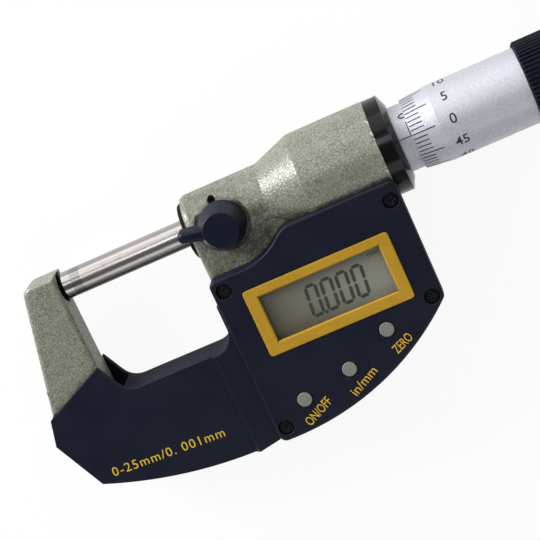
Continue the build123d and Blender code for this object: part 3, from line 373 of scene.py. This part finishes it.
def moulded_plastic(name, colour, worn, roughness, grain_depth=0.012, specular=0.2):
    """Moulded plastic: a fine eroded texture, polished and paler along its edges from wear and partly as a
    painted rim highlight, and darkened in its corners with painted shade.
    """
    edge_radius, wear_radius, wear_share = 0.18, 0.35, (0.15, 0.8)
    patch_share, patch_tone = 0.5, 1.25
    grain_share, grain_tone = 0.3, 0.6
    shade_reach, shade_between, shade_share, shade_tone = 1.1, (0.96, 0.72), 0.85, 0.12
    smoothest, roughest, upright_roughness = roughness - 0.04, roughness + 0.05, 0.4
    finish = Finish(name, specular=specular)
    grain = finish.noise(per_mm=4.5, detail=3)
    patches = finish.noise(per_mm=0.12, detail=3)
    handling = finish.remap(finish.noise(per_mm=0.7, detail=4), (0.35, 0.65), wear_share)
    tint = finish.blend(finish.spread(patches, 0.0, patch_share), colour, toned(colour, patch_tone))
    grained = finish.remap(grain, (0.35, 0.65), (0.0, grain_share))
    tint = finish.blend(grained, tint, toned(colour, grain_tone))
    # Painted shade: darker where ambient occlusion finds a corner or a narrow gap
    shaded_corners = finish.times(finish.crevices(shade_reach, shade_between), shade_share)
    tint = finish.blend(shaded_corners, tint, toned(colour, shade_tone))
    uneven = finish.spread(patches, smoothest, roughest)
    # Edges paler from wear, and on the navy pieces partly a painted rim highlight
    finish.set(
        colour=finish.blend(finish.times(finish.edges(wear_radius), handling), tint, worn),
        roughness=finish.add(uneven, finish.times(finish.steepness(), upright_roughness)),
        normal=finish.relief(grain, grain_depth, finish.softened(edge_radius)),
    )
    return finish.material


def turned_black(name, roughness, specular):
    """Blackened metal turned in a lathe, with fine rings round the spindle's axis."""
    wear_radius, wear_share = 0.3, (0.2, 0.9)
    ring_depth, ring_roughness = 0.004, 0.06
    finish = Finish(name, specular=specular)
    rings = finish.noise(per_mm=1.0, detail=2, stretch=(7, 0.2, 0.2))
    handling = finish.remap(finish.noise(per_mm=0.9, detail=3), (0.35, 0.65), wear_share)
    finish.set(
        colour=finish.blend(finish.times(finish.edges(wear_radius), handling), jet, metal_worn),
        roughness=finish.spread(rings, roughness - ring_roughness, roughness + ring_roughness),
        normal=finish.relief(rings, ring_depth),
    )
    return finish.material


def printed_ink(name, colour):
    """Ink with slightly uneven cover."""
    thin_share, thin_tone = 0.35, 0.7
    finish = Finish(name, roughness=0.45)
    cover = finish.remap(finish.noise(per_mm=3.0, detail=3), (0.35, 0.75), (0.0, thin_share))
    finish.set(colour=finish.blend(cover, colour, toned(colour, thin_tone)))
    return finish.material


def lcd_glass():
    """The display's grey-green face, with painted shade darkening it towards its lower left corner."""
    bright_corner, dark_corner, rise = 34.0, 8.0, 1.2
    cloud_share, cloud_tone = 0.4, 0.86
    fleck_share, fleck_tone, fleck_roughness = 0.15, 0.8, (0.30, 0.42)
    finish = Finish("lcd_glass")
    cloud = finish.noise(per_mm=0.05, detail=2)
    fleck = finish.noise(per_mm=3.0, detail=2)
    diagonal = finish.add(finish.axis("X"), finish.axis("Y", stretch=(1, rise, 1)))
    tone = finish.blend(finish.spread(cloud, 0.0, cloud_share), lcd_grey, toned(lcd_grey, cloud_tone))
    flecked = finish.remap(fleck, (0.4, 0.7), (0.0, fleck_share))
    tone = finish.blend(flecked, tone, toned(lcd_grey, fleck_tone))
    tone = finish.blend(finish.remap(diagonal, (bright_corner, dark_corner)), tone, lcd_shade)
    finish.set(colour=tone, roughness=finish.spread(fleck, *fleck_roughness))
    return finish.material


def clear_window():
    """A clear acrylic window with the faint haze of small scratches."""
    haze = (0.05, 0.14)
    finish = Finish("clear_window", colour=window_clear, alpha=0.05, specular=0.6)
    scratches = finish.noise(per_mm=1.0, detail=3, stretch=(0.4, 3.0, 1.0))
    finish.set(roughness=finish.remap(scratches, (0.5, 0.8), haze))
    return finish.material


def solder_board():
    """A green board with copper tracks under the solder resist."""
    track_width, track_depth = 0.06, 0.03
    finish = Finish("solder_board", roughness=0.35)
    tracks = finish.node("TexBrick")
    settings = {
        "Vector": finish.places(), "Scale": 1.0, "Color1": board_green, "Color2": board_pale,
        "Mortar": board_track, "Mortar Size": track_width,
    }
    for socket, value in settings.items():
        finish.put(tracks.inputs[socket], value)
    finish.set(colour=tracks.outputs["Color"], normal=finish.relief(tracks.outputs["Fac"], track_depth))
    return finish.material


finishes = {
    crackle_enamel(): ["frame"],
    ground_steel("ground_anvil", steel, 0.20, groove=(-4.3, -3.3), painted_dark_reflection=True): ["anvil"],
    ground_steel("ground_spindle", steel, 0.26, painted_dark_reflection=True): ["spindle"],
    ground_steel("lapped_carbide", carbide, 0.24, painted_dark_reflection=True): ["anvil_tip", "spindle_tip"],
    ground_steel("machined_steel", hidden_steel, 0.30): [
        "lock_pin", "guide_sleeve", "rotor_key", "ratchet_wheel", "ratchet_pawl", "ratchet_spring",
    ],
    ground_steel("machined_brass", brass, 0.28): ["lock_plunger", "adjusting_nut", "battery_contact"],
    satin_plating("satin_thimble", chrome, 0.55): ["thimble", "sleeve", "ratchet_knob", "ratchet_screw"],
    satin_plating("battery_can", battery_steel, 0.22): ["battery"],
    moulded_plastic("navy_housing", navy, navy_worn_and_rim_light, 0.42): [
        "display_housing", "front_cover", "rear_cover", "battery_cap",
    ],
    moulded_plastic("navy_lever", navy, lever_worn_and_glint, 0.30, specular=0.22): ["lock_lever"],
    moulded_plastic("navy_grip", navy, navy_worn_and_rim_light, 0.40, specular=0.12): ["thimble_grip"],
    moulded_plastic("ochre_bezel", ochre, ochre_worn, 0.40, grain_depth=0.008): ["bezel"],
    moulded_plastic("grey_key", key_grey, key_worn, 0.38, grain_depth=0.045): [
        "power_button", "unit_button", "zero_button",
    ],
    moulded_plastic("black_moulding", jet, jet_worn, 0.45): ["button_switches", "encoder_rotor"],
    moulded_plastic("black_rubber", rubber, rubber_worn, 0.65, specular=0.12): [
        "spindle_seal", "display_gasket", "battery_seal", "lcd_connectors",
    ],
    turned_black("black_collar", 0.14, specular=0.20): ["end_collar"],
    turned_black("black_screws", 0.26, specular=0.16): ["housing_screws", "cover_screws", "lock_set_screw"],
    lcd_glass(): ["lcd_panel"],
    clear_window(): ["display_window"],
    solder_board(): ["circuit_board", "encoder_stator"],
}
for material, names in finishes.items():
    for name in names:
        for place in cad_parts[name].material_slots:
            place.material = material

yellow = printed_ink("yellow_print", print_yellow)
black = printed_ink("black_print", print_black)
segments_ink = printed_ink("lcd_segments", lcd_dark)


def add_print(name, mesh, material, body):
    """Put a printed mark, drawn in millimetres, into the scene and let it ride on a CAD body."""
    mesh.transform(Matrix.Scale(MM, 4))
    mesh.materials.clear()
    mesh.materials.append(material)
    piece = bpy.data.objects.new(name, mesh)
    bpy.context.collection.objects.link(piece)
    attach(piece, body)


def text_mesh(words, spacing=1.0, weight=0.0):
    curve = bpy.data.curves.new(words, "FONT")
    curve.body = words
    curve.resolution_u = 3
    curve.space_character = spacing
    curve.offset = weight
    holder = bpy.data.objects.new(words, curve)
    bpy.context.collection.objects.link(holder)
    bpy.context.view_layer.update()
    graph = bpy.context.evaluated_depsgraph_get()
    mesh = bpy.data.meshes.new_from_object(holder.evaluated_get(graph))
    bpy.data.objects.remove(holder)
    return mesh


font_cap_height = max(v.co.y for v in text_mesh("H").vertices)


def text_outline(words, cap_height, length=None, spacing=1.0, weight=0.0):
    """Flat lettering as a mesh: the baseline on the X axis from 0, as tall and as long as asked."""
    mesh = text_mesh(words, spacing, weight)
    across = [v.co.x for v in mesh.vertices]
    scale = cap_height / font_cap_height
    stretch = length / (max(across) - min(across)) if length else scale
    mesh.transform(Matrix.Diagonal((stretch, scale, 1, 1)) @ Matrix.Translation((-min(across), 0, 0)))
    return mesh


def polygons_mesh(name, outlines):
    """A mesh of separate flat faces, each given as its corners."""
    corners, faces = [], []
    for outline in outlines:
        faces.append(list(range(len(corners), len(corners) + len(outline))))
        corners += outline
    mesh = bpy.data.meshes.new(name)
    mesh.from_pydata(corners, [], faces)
    return mesh


def joined(name, meshes):
    """One mesh of several."""
    shape = bmesh.new()
    for mesh in meshes:
        shape.from_mesh(mesh)
    whole = bpy.data.meshes.new(name)
    shape.to_mesh(whole)
    shape.free()
    return whole


# Printed marks sit this far above the surface that carries them
ink = 0.045
deck_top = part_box("display_housing")[1][2] / MM
bow_top = 6.0
panel_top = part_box("lcd_panel")[1][2] / MM

# Lettering on flat faces: the words, where the baseline starts and ends, the height of a capital,
# the height of the face and the spacing of the letters
caption_weight = 0.003
captions = {
    "print_on_off": ("ON/OFF", (36.95, -50.85), (43.80, -47.40), 2.2, deck_top, 1.0),
    "print_unit": ("in/mm", (49.45, -48.40), (56.20, -44.73), 2.2, deck_top, 1.0),
    "print_zero": ("ZERO", (62.0, -42.85), (66.70, -40.76), 2.15, deck_top, 1.0),
    "print_range": ("0-25mm/0. 001mm", (-11.96, -45.71), (16.58, -46.97), 2.2, bow_top, 1.15),
}
for name, (words, start, end, cap_height, face, spacing) in captions.items():
    run = Vector((end[0] - start[0], end[1] - start[1], 0))
    caption = text_outline(words, cap_height, run.length, spacing, caption_weight)
    turn = Vector((1, 0, 0)).rotation_difference(run).to_matrix().to_4x4()
    caption.transform(Matrix.Translation((*start, face + ink)) @ turn)
    add_print(name, caption, yellow, "frame_group")


def zero_segments(left, bottom, width, height, stroke, slant):
    """The six lit bars of a seven-segment 0, leaning to the right."""
    gap = 0.08
    half = stroke / 2
    near, far = half, width - half
    low, middle, high = half, height / 2, height - half
    bars = (
        ((near, low), (far, low)), ((near, low), (near, middle)), ((near, middle), (near, high)),
        ((near, high), (far, high)), ((far, middle), (far, high)), ((far, low), (far, middle)),
    )
    shapes = []
    for first, last in bars:
        start, end = Vector(first), Vector(last)
        along = (end - start).normalized()
        side = Vector((-along.y, along.x))
        start, end = start + along * gap, end - along * gap
        outline = (
            start, start + (along - side) * half, end - (along + side) * half,
            end, end - (along - side) * half, start + (along + side) * half,
        )
        shapes.append([(left + p.x + slant * p.y, bottom + p.y, panel_top + ink) for p in outline])
    return shapes


# The display reads 0.000 mm
digit_count = 4
digit_left, digit_bottom = 47.6, -28.1
digit_width, digit_height = 3.15, 7.9
digit_pitch = 3.75
digit_stroke = 0.80
digit_slant = 0.09
point_side = 0.75
unit_place, unit_height, unit_length = (64.6, -19.9), 1.25, 2.6
lit = []
for index in range(digit_count):
    left = digit_left + index * digit_pitch
    lit += zero_segments(left, digit_bottom, digit_width, digit_height, digit_stroke, digit_slant)
point_left = digit_left + digit_pitch - (digit_pitch - digit_width + point_side) / 2
lit.append([
    (point_left + x, digit_bottom + y, panel_top + ink)
    for x, y in ((0, 0), (point_side, 0), (point_side, point_side), (0, point_side))
])
add_print("lcd_digits", polygons_mesh("lcd_digits", lit), segments_ink, "frame_group")
unit_mark = text_outline("mm", unit_height, unit_length)
unit_mark.transform(Matrix.Translation((*unit_place, panel_top + ink)))
add_print("lcd_unit", unit_mark, segments_ink, "frame_group")


def on_ring(x, radius, turn):
    """A point on a ring round the spindle's axis, turned from the top away from the bow."""
    return (x, radius * sin(turn), radius * cos(turn))


def wrap(mesh, radius, angle):
    """Bend a flat mesh round the spindle's axis: its y becomes the way round, from the angle up."""
    step = 0.25
    shape = bmesh.new()
    shape.from_mesh(mesh)
    heights = [v.co.y for v in shape.verts]
    level = min(heights) + step
    while level < max(heights):
        everything = shape.verts[:] + shape.edges[:] + shape.faces[:]
        bmesh.ops.bisect_plane(shape, geom=everything, plane_co=(0, level, 0), plane_no=(0, 1, 0))
        level += step
    for v in shape.verts:
        v.co = on_ring(v.co.x, radius, radians(angle) + v.co.y / radius)
    shape.to_mesh(mesh)
    shape.free()
    return mesh


def lengthwise_line(left, left_r, right, right_r, angle, half_width):
    """A thin line along the axis on a turned surface."""
    corners = []
    for x, r, side in ((left, left_r, -1), (right, right_r, -1), (right, right_r, 1), (left, left_r, 1)):
        corners.append(on_ring(x, r + ink, radians(angle) + side * half_width / r))
    return corners


def crosswise_line(x, radius, first_angle, last_angle, half_width):
    """A thin line round a turned surface, in short straight pieces."""
    pieces = 6
    turns = [radians(first_angle + (last_angle - first_angle) * k / pieces) for k in range(pieces + 1)]
    strips = []
    left, right = x - half_width, x + half_width
    for first, last in zip(turns, turns[1:]):
        corners = ((left, first), (right, first), (right, last), (left, last))
        strips.append([on_ring(end, radius + ink, turn) for end, turn in corners])
    return strips


# Numbers on the two turned scales
numbered_every = 5
number_height = 2.3
number_weight = 0.006


def number_mesh(value):
    """A number as a flat mesh round the origin."""
    mesh = text_outline(str(value), number_height, weight=number_weight)
    width = max(v.co.x for v in mesh.vertices)
    mesh.transform(Matrix.Translation((-width / 2, -number_height / 2, 0)))
    return mesh


# Thimble: fifty graduations on the bevel and a number at every fifth
thimble_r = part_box("thimble")[1][1] / MM
bevel_left, bevel_left_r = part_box("thimble")[0][0] / MM, 8.25
bevel_right = 90.9
slope = (thimble_r - bevel_left_r) / (bevel_right - bevel_left)
zero_angle = 8.6
graduations = 50
graduation_half = 0.12
lines_left = bevel_left + 0.1
long_right, short_right = 89.9, 87.7
lines_left_r = bevel_left_r + slope * (lines_left - bevel_left)
number_middle = 94.2
lines, numbers = [], []
for index in range(graduations):
    angle = zero_angle + index * 360 / graduations
    right = short_right if index % numbered_every else long_right
    right_r = bevel_left_r + slope * (right - bevel_left)
    lines.append(lengthwise_line(lines_left, lines_left_r, right, right_r, angle, graduation_half))
    if index % numbered_every == 0:
        figure = number_mesh(index)
        figure.transform(Matrix.Translation((number_middle, 0, 0)))
        numbers.append(wrap(figure, thimble_r + ink, angle))
add_print("thimble_lines", polygons_mesh("thimble_lines", lines), black, "spindle_group")
add_print("thimble_numbers", joined("thimble_numbers", numbers), black, "spindle_group")

# Sleeve: the datum line, whole millimetres above it, halves below it and a number at every fifth
sleeve_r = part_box("sleeve")[1][1] / MM
datum_angle, datum_left, datum_past = 9.0, 81.4, 0.4
scale_zero, scale_length = 84.2, 25
scale_half = 0.1
whole_from, whole_to, fifth_to = datum_angle + 1, 26, 35
half_from, half_to = datum_angle - 1, datum_angle - 15
sleeve_number_angle = 47.6
datum_right = scale_zero + scale_length + datum_past
lines = [lengthwise_line(datum_left, sleeve_r, datum_right, sleeve_r, datum_angle, scale_half)]
numbers = []
for value in range(scale_length + 1):
    x = scale_zero + value
    fifth = value % numbered_every == 0
    lines += crosswise_line(x, sleeve_r, whole_from, fifth_to if fifth else whole_to, scale_half)
    if value < scale_length:
        lines += crosswise_line(x + 0.5, sleeve_r, half_from, half_to, scale_half)
    if fifth:
        figure = number_mesh(value)
        figure.transform(Matrix.Translation((x, 0, 0)) @ Matrix.Rotation(pi / 2, 4, "Z"))
        numbers.append(wrap(figure, sleeve_r + ink, sleeve_number_angle))
add_print("sleeve_lines", polygons_mesh("sleeve_lines", lines), black, "frame_group")
add_print("sleeve_numbers", joined("sleeve_numbers", numbers), black, "frame_group")


def make_floor():
    """A matt floor, level with the part's lowest point.

    White is mixed into what the camera, mirrors and glass see of it, and the light that it throws
    on the part is left as it is.
    """
    half = floor_half_size * MM
    x, y = (c * MM for c in object_middle[:2])
    floor_height = cad_box[0][2]
    corners = [(x + a * half, y + b * half, floor_height) for a, b in ((-1, -1), (1, -1), (1, 1), (-1, 1))]
    finish = Finish("floor", colour=floor_white, roughness=1.0, specular=0.0)
    path = finish.node("LightPath").outputs
    seen = finish.larger(path["Is Camera Ray"], path["Is Glossy Ray"])
    seen = finish.larger(seen, path["Is Transmission Ray"])
    glow = finish.node("Emission").outputs[0]
    mixed = finish.node("MixShader", (finish.times(seen, floor_glow), finish.shader.outputs[0], glow))
    finish.put(finish.tree.nodes["Material Output"].inputs["Surface"], mixed.outputs[0])
    mesh = polygons_mesh("floor", [corners])
    mesh.materials.append(finish.material)
    floor = bpy.data.objects.new("floor", mesh)
    bpy.context.collection.objects.link(floor)


def make_sky():
    """A white sky whose strength falls with height, times a share that falls towards the bow."""
    world = bpy.data.worlds.new("sky")
    world.use_nodes = True
    sky = Nodes(world.node_tree)
    direction = sky.node("SeparateXYZ", (sky.node("TexCoord").outputs["Generated"],)).outputs
    level = sky.remap(direction["Z"], (0.0, 1.0), (sky_horizon, sky_zenith), how="LINEAR")
    share = sky.remap(direction["Y"], (-1.0, 1.0), (sky_front_share, 1.0), how="LINEAR")
    background = world.node_tree.nodes["Background"]
    sky.put(background.inputs["Color"], (1, 1, 1))
    sky.put(background.inputs["Strength"], sky.times(level, share))
    bpy.context.scene.world = world


def make_softbox(name, place, aim, size, watts):
    """A rectangular lamp that lights the object and isn't itself seen by the camera."""
    light = bpy.data.lights.new(name, "AREA")
    light.shape = "RECTANGLE"
    light.size, light.size_y = (s * MM for s in size)
    light.energy = watts
    lamp = bpy.data.objects.new(name, light)
    lamp.location = Vector(place) * MM
    lamp.rotation_euler = (Vector(aim) - Vector(place)).to_track_quat("-Z", "Y").to_euler()
    lamp.visible_camera = False
    bpy.context.collection.objects.link(lamp)


def make_camera():
    """The camera that took the photo."""
    camera = bpy.data.objects.new("camera", bpy.data.cameras.new("camera"))
    camera.data.sensor_width = sensor_width
    camera.data.lens = sensor_width * focal_pixels / photo_pixels
    camera.data.clip_start = nearest_seen * MM
    turn = Matrix.Identity(4)
    for letter, angle in camera_turns:
        turn = turn @ Matrix.Rotation(angle, 4, letter)
    camera.matrix_world = Matrix.Translation(Vector(camera_place) * MM) @ turn
    bpy.context.collection.objects.link(camera)
    bpy.context.scene.camera = camera


make_floor()
make_sky()
for name, setting in softboxes.items():
    make_softbox(name, *setting)
make_camera()
bpy.context.scene.view_settings.view_transform = "Standard"
